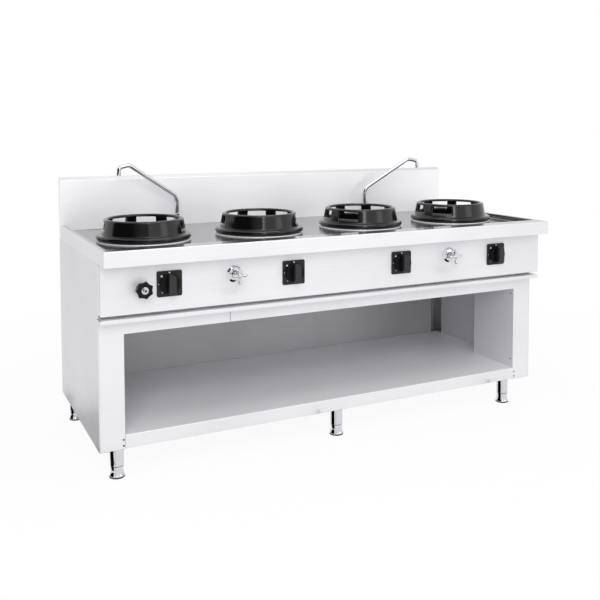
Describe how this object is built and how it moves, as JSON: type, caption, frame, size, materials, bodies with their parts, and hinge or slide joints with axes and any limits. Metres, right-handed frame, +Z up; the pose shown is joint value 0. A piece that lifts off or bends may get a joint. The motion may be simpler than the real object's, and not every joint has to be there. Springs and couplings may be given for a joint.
{
  "type": "wok range",
  "caption": "Free-standing gas wok range in stainless sheet: wok rings in a sunken pan, splashback with swivel spouts, control panel and open storage base.",
  "frame": {"origin": "on the floor at the middle of the plan", "axes": "+X to the right as seen by the cook, +Y to the back wall, +Z up"},
  "size_m": [2, 0.87, 1.1196],
  "materials": {
    "stainless_sheet": "brushed satin sheet",
    "chrome": "polished",
    "black_cast_iron": "black enamelled, semi-gloss",
    "black_plastic": "fine satin",
    "valve_brass": "machined",
    "copper_pipe": "drawn copper",
    "grey_pipe": "primer grey"
  },
  "bodies": {
    "cabinet": {"back_panel": "stainless_sheet", "base_shelf": "stainless_sheet", "burner_1": "black_cast_iron", "burner_2": "black_cast_iron", "burner_3": "black_cast_iron", "burner_4": "black_cast_iron", "burner_collars": "stainless_sheet", "burner_feed_pipes": "copper_pipe", "chamber_floor": "stainless_sheet", "control_panel": "stainless_sheet", "drain_pipe": "stainless_sheet", "drain_trough": "stainless_sheet", "fire_bowl_1": "black_cast_iron", "fire_bowl_2": "black_cast_iron", "fire_bowl_3": "black_cast_iron", "fire_bowl_4": "black_cast_iron", "front_ledge": "stainless_sheet", "gas_manifold": "grey_pipe", "gas_valves": "valve_brass", "knob_plates": "black_plastic", "left_front_column": "stainless_sheet", "left_side_panel": "stainless_sheet", "leg_tubes": "chrome", "pan_floor": "stainless_sheet", "panel_screws": "stainless_sheet", "pilot_valve": "valve_brass", "rear_posts": "stainless_sheet", "right_front_column": "stainless_sheet", "right_side_panel": "stainless_sheet", "splashback": "stainless_sheet", "spout_pipes": "copper_pipe", "spout_turret_left": "chrome", "spout_turret_right": "chrome", "tap_escutcheons": "chrome", "tap_valve_left": "chrome", "tap_valve_right": "chrome", "top_rail_left": "stainless_sheet", "top_rail_right": "stainless_sheet", "water_supply": "copper_pipe", "worktop": "stainless_sheet"},
    "wok_ring_1": {"wok_ring_1": "black_cast_iron"},
    "wok_ring_2": {"wok_ring_2": "black_cast_iron"},
    "wok_ring_3": {"wok_ring_3": "black_cast_iron"},
    "wok_ring_4": {"wok_ring_4": "black_cast_iron"},
    "knob_1": {"knob_1": "black_plastic"},
    "knob_2": {"knob_2": "black_plastic"},
    "knob_3": {"knob_3": "black_plastic"},
    "knob_4": {"knob_4": "black_plastic"},
    "handwheel": {"handwheel": "black_plastic"},
    "tap_handle_left": {"tap_handle_left": "chrome"},
    "tap_handle_right": {"tap_handle_right": "chrome"},
    "spout_left": {"spout_left": "chrome"},
    "spout_right": {"spout_right": "chrome"},
    "drain_strainer": {"drain_strainer": "stainless_sheet"},
    "foot_1": {"foot_1": "chrome"},
    "foot_2": {"foot_2": "chrome"},
    "foot_3": {"foot_3": "chrome"},
    "foot_4": {"foot_4": "chrome"},
    "foot_5": {"foot_5": "chrome"},
    "foot_6": {"foot_6": "chrome"}
  },
  "joints": [
    {"name": "wok_ring_1_lift", "type": "slide", "parent": "cabinet", "child": "wok_ring_1", "axis": [0, 0, 1], "range_m": [0, 0.12]},
    {"name": "wok_ring_2_lift", "type": "slide", "parent": "cabinet", "child": "wok_ring_2", "axis": [0, 0, 1], "range_m": [0, 0.12]},
    {"name": "wok_ring_3_lift", "type": "slide", "parent": "cabinet", "child": "wok_ring_3", "axis": [0, 0, 1], "range_m": [0, 0.12]},
    {"name": "wok_ring_4_lift", "type": "slide", "parent": "cabinet", "child": "wok_ring_4", "axis": [0, 0, 1], "range_m": [0, 0.12]},
    {"name": "knob_1_turn", "type": "hinge", "parent": "cabinet", "child": "knob_1", "pos_m": [-0.75, -0.376, 0.71], "axis": [0, -1, 0], "range_deg": [0, 135]},
    {"name": "knob_2_turn", "type": "hinge", "parent": "cabinet", "child": "knob_2", "pos_m": [-0.25, -0.376, 0.71], "axis": [0, -1, 0], "range_deg": [0, 135]},
    {"name": "knob_3_turn", "type": "hinge", "parent": "cabinet", "child": "knob_3", "pos_m": [0.25, -0.376, 0.71], "axis": [0, -1, 0], "range_deg": [0, 135]},
    {"name": "knob_4_turn", "type": "hinge", "parent": "cabinet", "child": "knob_4", "pos_m": [0.75, -0.376, 0.71], "axis": [0, -1, 0], "range_deg": [0, 135]},
    {"name": "handwheel_turn", "type": "hinge", "parent": "cabinet", "child": "handwheel", "pos_m": [-0.853, -0.404, 0.701], "axis": [0, -1, 0], "range_deg": [0, 900]},
    {"name": "tap_handle_left_turn", "type": "hinge", "parent": "cabinet", "child": "tap_handle_left", "pos_m": [-0.496, -0.4195, 0.724], "axis": [0, -1, 0], "range_deg": [0, 540]},
    {"name": "tap_handle_right_turn", "type": "hinge", "parent": "cabinet", "child": "tap_handle_right", "pos_m": [0.496, -0.4195, 0.724], "axis": [0, -1, 0], "range_deg": [0, 540]},
    {"name": "spout_left_swivel", "type": "hinge", "parent": "cabinet", "child": "spout_left", "pos_m": [-0.496, 0.336, 0.872], "axis": [0, 0, 1], "range_deg": [-10, 165]},
    {"name": "spout_right_swivel", "type": "hinge", "parent": "cabinet", "child": "spout_right", "pos_m": [0.496, 0.336, 0.872], "axis": [0, 0, 1], "range_deg": [-165, 10]},
    {"name": "drain_strainer_lift", "type": "slide", "parent": "cabinet", "child": "drain_strainer", "axis": [0, 0, 1], "range_m": [0, 0.03]},
    {"name": "foot_1_screw_out", "type": "slide", "parent": "cabinet", "child": "foot_1", "axis": [0, 0, -1], "range_m": [0, 0.03]},
    {"name": "foot_2_screw_out", "type": "slide", "parent": "cabinet", "child": "foot_2", "axis": [0, 0, -1], "range_m": [0, 0.03]},
    {"name": "foot_3_screw_out", "type": "slide", "parent": "cabinet", "child": "foot_3", "axis": [0, 0, -1], "range_m": [0, 0.03]},
    {"name": "foot_4_screw_out", "type": "slide", "parent": "cabinet", "child": "foot_4", "axis": [0, 0, -1], "range_m": [0, 0.03]},
    {"name": "foot_5_screw_out", "type": "slide", "parent": "cabinet", "child": "foot_5", "axis": [0, 0, -1], "range_m": [0, 0.03]},
    {"name": "foot_6_screw_out", "type": "slide", "parent": "cabinet", "child": "foot_6", "axis": [0, 0, -1], "range_m": [0, 0.03]}
  ]
}
